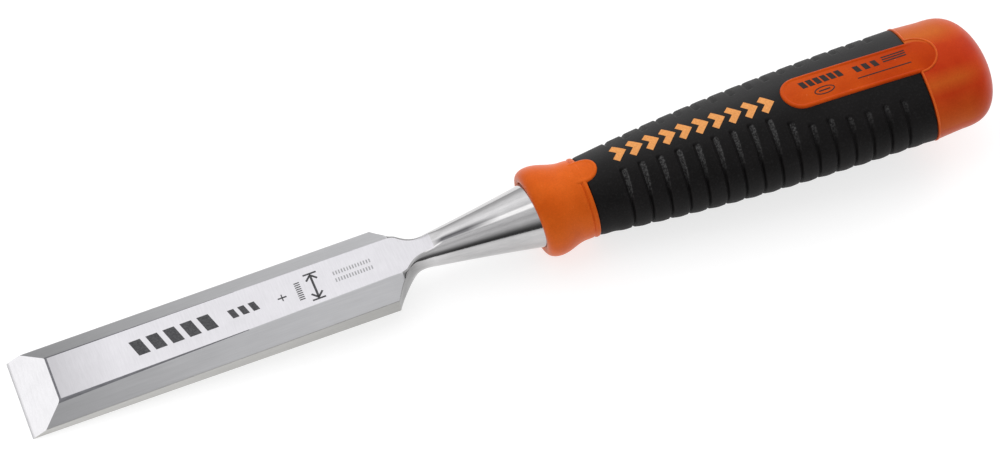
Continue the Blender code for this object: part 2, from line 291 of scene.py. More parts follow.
def laid_down(points):
    """World places, in metres, of points in the tool's frame. The CAD blade starts at the edge."""
    x, y, z = np.asarray(points, float).T * MM
    cosine, sine = math.cos(LAY_ANGLE), math.sin(LAY_ANGLE)
    return np.column_stack([EDGE_X + x * cosine - z * sine, y, x * sine + z * cosine])


def mesh_of(name, points, faces):
    mesh = bpy.data.meshes.new(name)
    mesh.from_pydata(laid_down(points).tolist(), [], faces)
    return mesh


def placed(name, data):
    """A new object in the scene."""
    made = bpy.data.objects.new(name, data)
    bpy.context.scene.collection.objects.link(made)
    return made


def piece(name, shells, materials, node=None, sharp=40, paint=None):
    """One object from shells of (points, faces). paint lists each face's material."""
    points, faces = [], []
    for shell_points, shell_faces in shells:
        start = sum(len(block) for block in points)
        points.append(shell_points)
        faces += [[start + index for index in face] for face in shell_faces]
    mesh = mesh_of(name, np.concatenate(points), faces)
    for material in materials:
        mesh.materials.append(material)
    if paint:
        mesh.polygons.foreach_set("material_index", paint)
    mesh.shade_smooth()
    mesh.set_sharp_from_angle(angle=math.radians(sharp))
    made = placed(name, mesh)
    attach(made, "root")
    if node:
        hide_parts(node)
    return made


def cut(made, points, faces, sharp=40):
    """Takes a closed shape away from a finished piece."""
    mesh = mesh_of("cutter", points, faces)
    cutter = placed("cutter", mesh)
    modifier = made.modifiers.new("window", "BOOLEAN")
    modifier.operation = "DIFFERENCE"
    modifier.object = cutter
    modifier.solver = "EXACT"
    bpy.context.view_layer.update()
    graph = bpy.context.evaluated_depsgraph_get()
    result = bpy.data.meshes.new_from_object(made.evaluated_get(graph))
    made.modifiers.clear()
    old, made.data = made.data, result
    result.name = made.name
    bpy.data.meshes.remove(old)
    bpy.data.objects.remove(cutter)
    bpy.data.meshes.remove(mesh)
    result.shade_smooth()
    result.set_sharp_from_angle(angle=math.radians(sharp))


# ---- materials ----


class Nodes:
    """Short ways to add nodes to a tree."""

    def __init__(self, tree):
        self.tree = tree

    def node(self, kind, **settings):
        made = self.tree.nodes.new(kind)
        for key, value in settings.items():
            setattr(made, key, value)
        return made

    def fill(self, made, **values):
        for key, value in values.items():
            made.inputs[key.replace("_", " ")].default_value = value

    def link(self, output, target):
        self.tree.links.new(output, target)

    def put(self, value, target):
        """Links another node's output, or sets a number or colour."""
        if isinstance(value, bpy.types.NodeSocket):
            self.link(value, target)
        elif isinstance(value, tuple):
            target.default_value = (*value, 1)
        else:
            target.default_value = value

    def split(self, vector):
        made = self.node("ShaderNodeSeparateXYZ")
        self.link(vector, made.inputs["Vector"])
        return made.outputs

    def math(self, operation, one, other):
        made = self.node("ShaderNodeMath", operation=operation)
        self.put(one, made.inputs[0])
        self.put(other, made.inputs[1])
        return made.outputs["Value"]

    def spread(self, value, start, end, low=0.0, high=1.0, kind="LINEAR"):
        """Maps start to low and end to high, and holds the value past both."""
        made = self.node("ShaderNodeMapRange", interpolation_type=kind)
        self.fill(made, From_Min=start, From_Max=end, To_Min=low, To_Max=high)
        self.link(value, made.inputs["Value"])
        return made.outputs["Result"]

    def step(self, value, start, end):
        """A soft step from 0 at start to 1 at end, whichever of them is larger."""
        low, high = sorted((start, end))
        return self.spread(value, low, high, float(start > end), float(start < end), "SMOOTHSTEP")

    def ramp(self, value, *stops):
        """A colour or grey that runs through stops of (position, colour or grey)."""
        made = self.node("ShaderNodeValToRGB")
        elements = made.color_ramp.elements
        while len(elements) < len(stops):
            elements.new(0.5)
        for element, (position, colour) in zip(elements, stops):
            element.position = position
            shade = colour if isinstance(colour, tuple) else (colour,) * 3
            element.color = (*shade, 1)
        self.link(value, made.inputs["Fac"])
        return made.outputs["Color"]

    def blend(self, kind, share, one, other):
        made = self.node("ShaderNodeMix", data_type="RGBA", blend_type=kind)
        sockets = {socket.identifier: socket for socket in made.inputs}
        for value, key in ((share, "Factor_Float"), (one, "A_Color"), (other, "B_Color")):
            self.put(value, sockets[key])
        return next(socket for socket in made.outputs if socket.identifier == "Result_Color")

    def times(self, one, other):
        return self.blend("MULTIPLY", 1.0, one, other)


class Paint(Nodes):
    """A material whose nodes work in the tool's own frame."""

    def __init__(self, name, roughness, metallic=0.0, **settings):
        self.material = bpy.data.materials.new(name)
        self.material.use_nodes = True
        super().__init__(self.material.node_tree)
        self.shader = self.tree.nodes["Principled BSDF"]
        self.fill(self.shader, Roughness=roughness, Metallic=metallic, **settings)
        tool = self.node("ShaderNodeMapping", vector_type="TEXTURE")
        self.fill(tool, Location=(EDGE_X, 0, 0), Rotation=(0, -LAY_ANGLE, 0))
        self.link(self.node("ShaderNodeTexCoord").outputs["Object"], tool.inputs["Vector"])
        self.place = tool.outputs["Vector"]

    def noise(self, per_mm, detail=3.0, roughness=0.55):
        """Noise with so many features in a millimetre along x, y and z."""
        mapping = self.node("ShaderNodeMapping")
        mapping.inputs["Scale"].default_value = [value / MM for value in per_mm]
        self.link(self.place, mapping.inputs["Vector"])
        made = self.node("ShaderNodeTexNoise")
        self.fill(made, Scale=1.0, Detail=detail, Roughness=roughness)
        self.link(mapping.outputs["Vector"], made.inputs["Vector"])
        return made.outputs["Fac"]

    def along(self, start, end):
        """How far along the tool, from 0 at start to 1 at end, in millimetres."""
        return self.spread(self.split(self.place)["X"], start * MM, end * MM)

    def turned(self):
        """How far round the handle's axis from +y over the top, from 0 to 1 for a whole turn."""
        place = self.split(self.place)
        above = self.math("SUBTRACT", place["Z"], AXIS_HEIGHT * MM)
        return self.math("DIVIDE", self.math("ARCTAN2", above, place["Y"]), 2 * math.pi)

    def facing_edge(self, start, end):
        """How far the surface faces the cutting edge: 0 up to start, 1 from end."""
        normal = self.node("ShaderNodeNewGeometry").outputs["Normal"]
        return self.spread(self.split(normal)["X"], -start, -end)

    def bump(self, height, strength, distance):
        """Raises the surface by height; distance is in millimetres."""
        made = self.node("ShaderNodeBump")
        self.fill(made, Strength=strength, Distance=distance * MM)
        self.link(height, made.inputs["Height"])
        self.link(made.outputs["Normal"], self.shader.inputs["Normal"])

    def colour(self, output):
        self.link(output, self.shader.inputs["Base Color"])

    def roughness(self, value, low, high):
        self.link(self.spread(value, 0, 1, low, high), self.shader.inputs["Roughness"])


def ground_steel(name, shades, scratch, rough, tint=(1.0, 1.0, 1.0), bump=0.06):
    """Steel with grinding lines. shades run from the edge to the shoulder, as painted reflections and
    painted shade; scratch is per mm.
    """
    paint = Paint(name, rough, metallic=1.0)
    stops = [(k / (len(shades) - 1), tuple(shade * t for t in tint)) for k, shade in enumerate(shades)]
    # Painted reflections: the shade changes along the blade.
    base = paint.ramp(paint.along(0, SHOULDER_X + 8), *stops)
    lines = paint.noise(scratch, detail=4, roughness=0.7)
    cloud = paint.noise((0.12, 0.2, 0.2), detail=2)
    base = paint.times(base, paint.ramp(lines, (0.3, 0.9), (0.7, 1.0)))
    base = paint.times(base, paint.ramp(cloud, (0.3, 0.96), (0.7, 1.0)))
    paint.colour(base)
    paint.roughness(lines, rough - 0.05, rough + 0.08)
    paint.bump(lines, bump, 0.02)
    return paint.material


# Painted shade on the neck and painted reflections on the cone.
NECK_SHADE_END_X = 116.0
DARK_REFLECTION_SPAN = (112, 132)  # x, over which a painted dark reflection runs down the cone as a streak
UNDERSIDE_FROM = (110, 118)  # x, over which the cone's painted dark band and painted darker underside set in


def polished_steel():
    """The neck and cone: drawn lengthwise and polished, with faint streaks and cloudy wear, painted shade
    and painted reflections.
    """
    paint = Paint("polished_steel", 0.1, metallic=1.0)
    streaks = paint.noise((0.03, 2.4, 2.4), detail=5, roughness=0.7)
    cloud = paint.noise((0.08, 0.35, 0.35), detail=3)
    base = paint.ramp(streaks, (0.3, (0.58, 0.575, 0.58)), (0.7, (0.66, 0.65, 0.65)))
    base = paint.times(base, paint.ramp(cloud, (0.35, 0.9), (0.65, 1.0)))
    # Painted shade: the neck darker towards the shoulders.
    shade = paint.ramp(paint.along(SHOULDER_X, NECK_SHADE_END_X), (0.05, 0.36), (0.35, 0.5), (0.75, 1.0))
    base = paint.times(base, shade)
    # Painted reflection: a dark streak on top of the cone near its front.
    along = paint.ramp(paint.along(*DARK_REFLECTION_SPAN), (0.0, 0.0), (0.15, 1.0), (0.5, 0.95), (0.95, 0.0))
    around = paint.ramp(paint.turned(), (0.265, 0.0), (0.285, 1.0), (0.305, 1.0), (0.325, 0.0))
    painted_reflection = paint.times(along, around)
    base = paint.blend("MULTIPLY", painted_reflection, base, (0.2, 0.2, 0.21))
    # Painted reflections: a thin dark band on the cone's near side and a slightly darker underside.
    band_and_underside = ((0.0, 0.84), (0.06, 1.0), (0.4, 1.0), (0.413, 0.46), (0.424, 0.6), (0.437, 0.86), (0.5, 0.84))
    painted_band = paint.ramp(paint.turned(), *band_and_underside)
    base = paint.blend("MULTIPLY", paint.along(*UNDERSIDE_FROM), base, painted_band)
    paint.colour(base)
    paint.roughness(cloud, 0.07, 0.13)
    paint.bump(streaks, 0.05, 0.05)
    return paint.material


def dark_edge():
    """The broken edges beside the ground faces, painted dark as a painted reflection of dark surroundings.
    """
    paint = Paint("dark_edge_steel", 0.3, metallic=1.0)
    mottle = paint.noise((0.4, 1.5, 1.5), detail=3)
    paint.colour(paint.ramp(mottle, (0.3, (0.14, 0.14, 0.15)), (0.7, (0.2, 0.2, 0.215))))
    paint.bump(mottle, 0.1, 0.02)
    return paint.material


PLASTIC_SPAN = (150, 250)  # x, from the first colour to the last
DOME_LIGHT_END = (257.0, 264.5)  # where the painted light bands die out towards the butt


def moulded(name, rough, tint, specks_from, *pairs, pale=()):
    """Satin moulded plastic: a mottled colour, a fine moulded grain and tiny bright specks.

    pale lists (turn round the axis, share) stops where the plastic is painted lighter, as painted light
    and highlights.
    """
    paint = Paint(name, rough, Specular_IOR_Level=0.2, Specular_Tint=tint)
    mottle = paint.noise((0.09, 0.09, 0.09), detail=4, roughness=0.5)
    grain = paint.noise((2.2, 2.2, 2.2), detail=3, roughness=0.6)
    specks = paint.noise((1.1, 1.1, 1.1), detail=1)
    shades = []
    for share in (0.0, 1.0):
        colours = [tuple(mix(pair[0][k], pair[1][k], share) for k in range(3)) for pair in pairs]
        ends = [(k / (len(pairs) - 1), colour) for k, colour in enumerate(colours)]
        shades.append(paint.ramp(paint.along(*PLASTIC_SPAN), *ends))
    base = paint.blend("MIX", paint.ramp(mottle, (0.32, 0.0), (0.68, 1.0)), *shades)
    # Painted light: a lighter orange in bands round the axis.
    if pale:
        before_end = paint.ramp(paint.along(*DOME_LIGHT_END), (0.0, 1.0), (1.0, 0.0))
        painted_light = paint.times(paint.ramp(paint.turned(), *pale), before_end)
        base = paint.blend("MIX", painted_light, base, (0.6, 0.15, 0.02))
    share = paint.ramp(specks, (specks_from, 0.0), (specks_from + 0.08, 0.2))
    base = paint.blend("MIX", share, base, (0.95, 0.42, 0.2))
    base = paint.times(base, paint.ramp(grain, (0.3, 0.88), (0.7, 1.0)))
    paint.colour(base)
    paint.roughness(mottle, rough - 0.06, rough + 0.08)
    paint.bump(grain, 0.3, 0.06)
    return paint.material


HIGHLIGHT_FROM = (158, 162)  # x, over which the painted highlight at the groove ends sets in


def soft_black():
    """The grip's soft plastic: black with a fine matt grain, a painted sheen on its far top and painted
    highlights at the groove ends.
    """
    paint = Paint("grip_black", 0.58, Specular_IOR_Level=0.14)
    grain = paint.noise((1.9, 1.9, 1.9), detail=3, roughness=0.7)
    cloud = paint.noise((0.15, 0.15, 0.15), detail=3)
    base = paint.ramp(cloud, (0.3, (0.0035, 0.003, 0.003)), (0.7, (0.0065, 0.0056, 0.0058)))
    base = paint.blend("ADD", 1.0, base, paint.ramp(grain, (0.5, 0.0), (0.75, 0.009)))
    # Painted sheen: lighter on the far top side.
    painted_sheen = ((0.0, 0.0), (0.06, 0.026), (0.18, 0.026), (0.25, 0.008), (0.32, 0.0))
    base = paint.blend("ADD", 1.0, base, paint.ramp(paint.turned(), *painted_sheen))
    # Painted highlight: on the groove ramps that face the edge, near their upper ends.
    ends = paint.ramp(paint.turned(), (0.27, 0.0), (0.3, 1.0), (0.37, 0.8), (0.43, 0.0))
    painted_highlight = paint.times(paint.facing_edge(0.3, 0.5), ends)
    painted_highlight = paint.times(painted_highlight, paint.ramp(grain, (0.4, 0.008), (0.62, 0.08)))
    painted_highlight = paint.times(painted_highlight, paint.along(*HIGHLIGHT_FROM))
    base = paint.blend("ADD", 1.0, base, painted_highlight)
    paint.colour(base)
    paint.roughness(grain, 0.5, 0.7)
    paint.bump(grain, 0.6, 0.12)
    return paint.material


def ink(name, dark, light, rough):
    """Printed or etched ink with a little wear."""
    paint = Paint(name, rough)
    wear = paint.noise((2.0, 2.0, 2.0), detail=3)
    paint.colour(paint.ramp(wear, (0.35, dark), (0.7, light)))
    paint.bump(wear, 0.05, 0.02)
    return paint.material


# ---- blade ----

CORNER_ANGLES = [math.radians(angle) for angle in (-130, -50, -10, 55, 125, 190)]
STRETCH_POINTS = (24, 8, 16, 30, 16, 8)  # from each corner to the next
CORNER_POINTS = 4
CORNER_SPREAD = math.radians(1.5)


def cone_radius(x):
    start = CONE_RADIUS_AT_END - CONE_SLOPE * (CONE_END_X - CONE_START_X)
    if x >= CONE_START_X:
        along = share_of(x, CONE_START_X, CONE_END_X)
        return CONE_RADIUS_AT_END - CONE_SLOPE * (CONE_END_X - x) - CONE_HOLLOW * 4 * along * (1 - along)
    return mix(WAIST_RADIUS, start, share_of(x, WAIST_X, CONE_START_X) ** 2)


def neck_half_width(x):
    if x >= WAIST_X:
        return cone_radius(x)
    sweep = ((WAIST_X - x) / (WAIST_X - SHOULDER_X)) ** SHOULDER_SWEEP
    return WAIST_RADIUS + (HALF_WIDTH[1] - WAIST_RADIUS) * sweep


def section_corners(x):
    """The six corners of a blade section. Behind the shoulders it is cut off square in plan."""
    along = min(x / SHOULDER_X, 1)
    pairs = (HALF_WIDTH, LAND_HEIGHT, TOP_HALF_WIDTH, THICKNESS)
    half, land, top, high = (mix(*pair, along) for pair in pairs)
    if x > SHOULDER_X:
        cut_off = neck_half_width(x)
        land = mix(land, high, share_of(half - cut_off, 0, half - top))
        top = min(top, 0.98 * cut_off)
        half = cut_off
    return [(-half, 0), (half, 0), (half, land), (top, high), (-top, high), (-half, land)]


def edge_breaks(x):
    wide = mix(WIDE_BREAK, EDGE_BREAK, share_of(x, 8, WIDE_BREAK_ENDS_X) ** 0.7)
    return [EDGE_BREAK, EDGE_BREAK, EDGE_BREAK, 0.4 * wide, wide, EDGE_BREAK]


def flat_section(x):
    """(y, z) points round a blade section with its corners broken."""
    corners = [np.array(corner, float) for corner in section_corners(x)]
    breaks = edge_breaks(x)
    ends = []
    for i, here in enumerate(corners):
        pair = []
        for other in (corners[i - 1], corners[(i + 1) % len(corners)]):
            away = other - here
            length = max(math.hypot(*away), 1e-9)
            pair.append(here + away / length * min(breaks[i], 0.4 * length))
        ends.append(pair)
    points = []
    for i, here in enumerate(corners):
        enter, leave = ends[i]
        for t in steps(0, 1, CORNER_POINTS - 1):
            points.append((1 - t) ** 2 * enter + 2 * t * (1 - t) * here + t * t * leave)
        arrive = ends[(i + 1) % len(corners)][0]
        points += [mix(leave, arrive, t) for t in steps(0, 1, STRETCH_POINTS[i])[1:-1]]
    return np.array(points)


def section_angles():
    """The angle of each section point when the section is round."""
    angles = []
    for i, angle in enumerate(CORNER_ANGLES):
        after = CORNER_ANGLES[i + 1] if i < 5 else CORNER_ANGLES[0] + 2 * math.pi
        angles += steps(angle - CORNER_SPREAD, angle + CORNER_SPREAD, CORNER_POINTS - 1)
        angles += steps(angle + CORNER_SPREAD, after - CORNER_SPREAD, STRETCH_POINTS[i])[1:-1]
    return np.array(angles)


def neck_section(x):
    angles = section_angles()
    lift = RUN_OUT_CURVE * max(x - RUN_OUT_X, 0) ** 2
    share = ease(share_of(x, ROUNDING_STARTS_X, FULLY_ROUND_X))
    radius = neck_half_width(x)
    full = oval(x, radius, radius, angles)[:, 1:]
    section = mix(flat_section(min(x, WAIST_X)), full, share)
    high, low = THICKNESS[1] + lift, -lift
    for point in section:
        point[1] = soft_min(point[1], high, 0.5 * share)
        point[1] = -soft_min(-point[1], -low, 0.5 * share)
    return section


def front_x(z):
    """Where the ground front face is at height z: a honed facet, then the main grind."""
    if z <= HONED_HEIGHT:
        return z / math.tan(HONED_ANGLE)
    return HONED_HEIGHT / math.tan(HONED_ANGLE) + (z - HONED_HEIGHT) / math.tan(GRIND_ANGLE)


def front_ring(setback=0.0):
    """The ring where the grind cuts the blade off, or one that follows it a little way back."""
    section = flat_section(0)
    snapped = np.argsort(np.abs(section[:, 1] - HONED_HEIGHT))[:2]
    ring = []
    for index in range(len(section)):
        x = 0.0
        for _ in range(8):
            y, z = flat_section(x + setback)[index]
            if index in snapped:
                z = HONED_HEIGHT
            x = front_x(z)
        ring.append((x + setback, y, z))
    return np.array(ring)


def front_faces(ring):
    """The grind: strips between the ring's right side and its mirror on the left."""
    first = CORNER_POINTS + STRETCH_POINTS[0] - 1  # the right back corner
    sides = 2 * CORNER_POINTS + sum(STRETCH_POINTS[1:3]) - 2
    count = len(ring)
    right = [first + k for k in range(sides + CORNER_POINTS)]
    left = [(CORNER_POINTS - 1 - k) % count for k in range(sides + CORNER_POINTS)]
    faces = [[left[k], left[k + 1], right[k + 1], right[k]] for k in range(1, len(right) - 2)]
    back = list(range(left[0], right[0] + 1))
    faces.append([left[1]] + back + [right[1]])
    last = len(right) - 1
    top = list(range(right[last], left[last] + 1))
    faces.append([right[last - 1]] + top + [left[last - 1]])
    return [face[::-1] if face_is_backward(ring, face) else face for face in faces]


def face_is_backward(points, face):
    """Whether the face's normal points along +x."""
    loop = points[face]
    normal = sum(np.cross(loop[k - 1] - loop[0], loop[k] - loop[0]) for k in range(2, len(loop)))
    return normal[0] > 0


KINDS = ("grind", "top", "bevel", "land", "dark", "polished", "honed")
BY_STRETCH = ("land", "land", "bevel", "top", "bevel", "land")


def blade_material(points, face):
    """The index of the material for a face between two of the blade's rings."""
    count = sum(STRETCH_POINTS) + 6 * (CORNER_POINTS - 1)
    ring = min(face) // count
    x = points[face, 0].mean()
    if x > FULLY_ROUND_X + 3.5 or len(face) > 4:
        return KINDS.index("polished")
    places = sorted({corner % count for corner in face})
    start = places[0] if places[-1] - places[0] == 1 else places[-1]
    starts = np.cumsum([0] + [CORNER_POINTS - 1 + stretch for stretch in STRETCH_POINTS])
    stretch = int(np.searchsorted(starts, start, side="right")) - 1
    kind = BY_STRETCH[stretch]
    broken_edge = start - starts[stretch] < CORNER_POINTS - 1
    # Painted dark reflection on the broken edges beside the grind and along the top face near the tip.
    if ring == 0 and (stretch == 3 or (stretch == 4 and broken_edge)):
        kind = "dark"
    elif broken_edge and stretch in (3, 4) and x < WIDE_BREAK_ENDS_X:
        kind = "dark"
    elif x > SHOULDER_X and kind != "top" and (kind == "land" or x > ROUNDING_STARTS_X + 1):
        kind = "polished"
    return KINDS.index(kind)


def blade():
    front = front_ring()
    grind_end = front[:, 0].max()
    rings = [front, front_ring(0.55)]
    rings += [with_x(x, flat_section(x)) for x in steps(grind_end + 1.5, SHOULDER_X, 16)]
    sweep_end, round_from = SHOULDER_X + 2.4, CONE_START_X + 4
    neck = steps(SHOULDER_X, sweep_end, 20)[1:] + steps(sweep_end, round_from, 70)[1:]
    rings += [with_x(x, neck_section(x)) for x in neck]
    angles = section_angles()
    for x in steps(round_from, CONE_END_X, 12)[1:]:
        rings.append(oval(x, cone_radius(x), cone_radius(x), angles))
    rings += [square(x, side, angles) for x, side in zip((CONE_END_X, TANG_END_X), TANG_SIDES)]
    points, faces = skin(rings, start_cap=False)
    paint = [blade_material(points, face) for face in faces]
    grind = front_faces(front)
    paint += [KINDS.index("grind")] * len(grind)
    paint[len(faces) + len(grind) - 2] = KINDS.index("honed")
    # Painted reflections and painted shade: the top and bevels are painted darker near the cutting edge,
    # the narrow side faces darker near the shoulder.
    top_shades = (0.46, 0.76, 0.75, 0.76, 0.74)
    bevel_shades = (0.36, 0.48, 0.58, 0.64, 0.66)
    materials = [
        ground_steel("ground_front", (0.85, 0.85), (1.6, 0.25, 0.6), 0.24, (1.0, 0.99, 1.01)),
        ground_steel("ground_top", top_shades, (2.2, 0.22, 1.0), 0.3, (1.0, 0.985, 1.02)),
        ground_steel("ground_bevel", bevel_shades, (0.06, 2.2, 2.2), 0.3, (1.0, 1.0, 1.02)),
        ground_steel("ground_land", (0.57, 0.54, 0.49, 0.40), (0.05, 2.5, 2.5), 0.34, (1.0, 0.99, 0.96)),
        dark_edge(),
        polished_steel(),
        # The honed facet is painted dark, as painted shade, so that it shows as a grey line along the
        # edge.
        ground_steel("honed_facet", (0.2, 0.2), (3.0, 0.25, 3.0), 0.2),
    ]
    shells = [(points, faces + grind)]
    piece("blade", shells, materials, "blade", sharp=16, paint=paint)


# ---- tabs: the label panel and the lobe ----


def tongue(front_x_at, back_x, radii, across, share=1.0, grow=0.0):
    """(x, y) points round a tab with two round ends, from its back tip over its +y side.

    share draws a smaller outline inside it, down to its centre line, and grow widens it.
    """
    front, back = front_x_at + radii[0], back_x - radii[1]
    lean = math.asin((radii[1] - radii[0]) / (back - front))
    small, large = ((radius * share + grow) for radius in radii)
    tangent = math.pi / 2 + lean
    half = arc(back, 0, large, large, steps(0, tangent, 14))
    tip = arc(front, 0, small, small, steps(tangent, math.pi, 14))
    (x, y), (end_x, end_y) = half[-1], tip[0]
    run = max(int((back - front) / 1.2), 2)
    half += [(mix(x, end_x, t), mix(y, end_y, t)) for t in steps(0, 1, run)[1:-1]] + tip
    outline = half + [(x, -y) for x, y in half[-2:0:-1]]
    return [(x, y + across(x)) for x, y in outline]


def tab(outline_at, profile, radius):
    """A closed tab from nested outlines. profile is a list of (how far in, height above surface)."""
    rings = []
    for inward, rise in profile:
        outline = outline_at(max(1 - inward / radius, 0.02))
        rings.append([(x, y, handle_top(x, y) + rise(x)) for x, y in outline])
    deep = [(x, y, AXIS_HEIGHT + 6) for x, y, _ in rings[0]]
    rings = [np.array(ring) for ring in [deep] + rings]
    points, faces = skin(rings, start_cap=True, end_cap=False)
    count = len(deep)
    last = (len(rings) - 1) * count
    faces.append([last, last + 1, last + count - 1])
    for k in range(1, count // 2):
        ends = [last + k, last + k + 1, last + (count - k - 1) % count, last + count - k]
        faces.append(ends if len(set(ends)) == 4 else list(dict.fromkeys(ends)))
    return points, upright(points, faces, faces[-2])


def prism(outline, low=AXIS_HEIGHT + 4, high=AXIS_HEIGHT + 20):
    """A closed block over a plan outline, tall enough to cut through the handle's top."""
    points, faces = skin([np.array([(x, y, z) for x, y in outline]) for z in (low, high)])
    return points, upright(points, faces, faces[-1])


def panel_across(x):
    return PANEL_LEAN * (x - PANEL_MIDDLE_X)


def panel_outline(share=1.0, grow=0.0):
    return tongue(PANEL_FRONT_X, PANEL_BACK_X, PANEL_RADII, panel_across, share, grow)


def lobe_outline(share=1.0, grow=0.0):
    radii = (LOBE_RADIUS - 0.01, LOBE_RADIUS)
    return tongue(GRIP_FRONT_X - 7.6, LOBE_BACK_X, radii, lambda x: LOBE_ACROSS, share, grow)


def rounded_rim(rise, radius):
    """Profile of a rounded rim that stands up by rise: (how far in, height)."""
    turns = steps(0, math.pi / 2, 5)
    return [(radius * (1 - math.cos(turn)), rise - radius + radius * math.sin(turn)) for turn in turns]


PANEL_RIM, PANEL_FACE = 0.42, 0.12
PANEL_SINK = (246, 249.5)  # x, over which the rim sinks to the face's level
LOBE_RISE = (150.0, 153.5)  # x, over which the lobe comes up out of the collar


def label_panel():
    """A shallow tray: a rounded rim that sinks into the cap's level towards the back, and a face."""
    profile = rounded_rim(PANEL_RIM, 0.45)
    profile += [(0.65, 0.40), (0.8, 0.33), (0.95, 0.22), (1.1, 0.14), (1.3, PANEL_FACE)]
    profile += [(inward, PANEL_FACE) for inward in (2.0, 3.0, 4.0, 5.0)]

    def level(value):
        excess = value - PANEL_FACE
        return lambda x: PANEL_FACE + excess * (1 - ease(share_of(x, *PANEL_SINK)))

    return tab(panel_outline, [(inward, level(rise)) for inward, rise in profile], PANEL_RADII[1])


def lobe():
    rim = rounded_rim(0.32, 0.45)
    inner = [(0.65, 0.3), (0.85, 0.24), (1.05, 0.17), (1.3, 0.15), (2.2, 0.15), (3.0, 0.15), (3.7, 0.15)]

    def level(value):
        return lambda x: mix(-0.5, value, ease(share_of(x, *LOBE_RISE)))

    profile = [(inward, level(rise)) for inward, rise in rim + inner]
    return tab(lobe_outline, profile, LOBE_RADIUS)


# ---- handle core ----


def flange_lift(x):
    """The fine groove round the collar, and the thin flange between it and the grip."""
    groove = -0.28 * math.exp(-(((x - FLANGE_X) / 0.22) ** 2))
    rise = share_of(x, FLANGE_X + 0.1, FLANGE_X + 0.6)
    fall = math.sqrt(max(1 - share_of(x, FLANGE_ROUNDS_X, FLANGE_END_X) ** 2, 0))
    return groove + 0.22 * rise * fall


def leaning(ring, by):
    """Moves the far side of a ring forward and its near side back."""
    ring[:, 0] -= by * np.cos(full_turn(len(ring)) - LEAN_ANGLE)
    return ring


def core_rings():
    angles = full_turn(240)

    def ring(x, radius):
        return oval(x, radius, radius, angles)

    hole = zip((TANG_END_X, CONE_END_X), reversed(TANG_SIDES))
    rings = [square(x + GAP, side + 2 * GAP, angles) for x, side in hole]
    rings += [ring(x, cone_radius(x) + 0.12) for x in (CONE_END_X + GAP, LIP_FRONT_X + 1.9)]
    for behind, clear, lean in ((0.9, 0.12, 0.55), (0.55, 0.3, 0.7), (0.38, 0.6, 0.8)):
        x = LIP_FRONT_X + behind
        rings.append(leaning(ring(x, cone_radius(x) + clear), lean))
    for turn in steps(0, math.pi / 2, 18):
        x = LIP_CREST_X - (LIP_CREST_X - LIP_FRONT_X - 0.3) * math.cos(turn) ** 0.9
        radius = mix(LIP_FRONT_RADIUS, LIP_CREST_RADIUS, math.sin(turn) ** 0.85)
        rings.append(leaning(ring(x, radius), COLLAR_LEAN))
    waist_end = LIP_CREST_X + COLLAR_WAIST_LENGTH
    for x in steps(LIP_CREST_X, waist_end, 24)[1:] + steps(waist_end + 0.4, FLANGE_END_X, 26):
        lean = mix(COLLAR_LEAN, FLANGE_LEAN, share_of(x, LIP_CREST_X, waist_end))
        rings.append(leaning(handle_ring(x, -flange_lift(x)), lean))
    under = GRIP_THICKNESS + GAP
    rings += [handle_ring(x, under) for x in steps(GRIP_FRONT_X - 0.15, CAP_FRONT_X - GAP, 12)]
    stub = CAP_WALL + GAP
    rings += [handle_ring(x, stub) for x in (CAP_FRONT_X - GAP, DOME_START_X, STUB_END_X - GAP)]
    return rings


def handle_core(orange):
    shells = [skin(core_rings()), label_panel(), lobe()]
    piece("handle_core", shells, [orange], "handle_core", sharp=50)


# ---- grip ----


def groove_press(offset, turned, width_share):
    """How deep a groove presses at an offset behind its steep front wall, from 0 to 1."""
    wall, floor, ramp = 0.35, 0.3, mix(0.5, 1.55, width_share)
    if offset <= -wall or offset >= floor + ramp:
        return 0.0
    if offset < 0:
        return ease(1 + offset / wall)
    if offset < floor:
        return 1.0
    return 1 - ease((offset - floor) / ramp) ** 0.8


def grip_x_values():
    values = {GRIP_FRONT_X, GRIP_FRONT_X + 0.15, GRIP_BACK_X - 0.2, GRIP_BACK_X}
    for index in range(GROOVE_COUNT):
        start = FIRST_GROOVE_X + index * GROOVE_PITCH
        values |= set(steps(start - 0.4, start + 1.9, 18))
        values |= set(steps(start + 1.9, start + GROOVE_PITCH - 0.4, 6))
    values |= set(steps(GRIP_FRONT_X + 0.15, FIRST_GROOVE_X - 0.4, 12))
    kept = sorted(value for value in values if GRIP_FRONT_X <= value <= GRIP_BACK_X)
    return [b for a, b in zip([0] + kept, kept) if b - a > 0.02]


def grip_ring(x, points):
    """A ring of the grip with its grooves pressed in and its ribs slightly crowned."""
    index = int(np.clip(round((x - FIRST_GROOVE_X - 0.75) / GROOVE_PITCH), 0, GROOVE_COUNT - 1))
    offset = x - (FIRST_GROOVE_X + index * GROOVE_PITCH)
    near, far = NEAR_ENDS[index], FAR_ENDS[index]
    width, height = handle_size(x)
    ring = np.empty((points, 3))
    for k in range(points):
        degrees = 360 * k / points
        past_near = (degrees - near) % 360
        past_far = (far - degrees) % 360
        ribbed = past_near < 360 - (near - far)
        inside = min(past_near, past_far) if ribbed else 0.0
        depth = 0.0
        if ribbed:
            wide = 1 - ease(share_of(inside, 4, 55))
            depth = GROOVE_DEPTH * groove_press(offset, inside, wide) * ease(share_of(inside, 0, 2.6))
            depth *= mix(1.15, 1.0, wide)
        crowned = ease(share_of(inside, 20, 60))
        crown = 0.1 * crowned * math.cos(2 * math.pi * (offset - 2.8) / GROOVE_PITCH)
        edge = 0.18 * (1 - share_of(x, GRIP_FRONT_X, GRIP_FRONT_X + 0.3))
        edge += 0.1 * share_of(x, GRIP_BACK_X - 0.3, GRIP_BACK_X)
        inset = depth - crown + 0.1 * crowned + edge
        turn = math.radians(degrees)
        ring[k] = (x, (width - inset) * math.cos(turn), AXIS_HEIGHT + (height - inset) * math.sin(turn))
    return ring


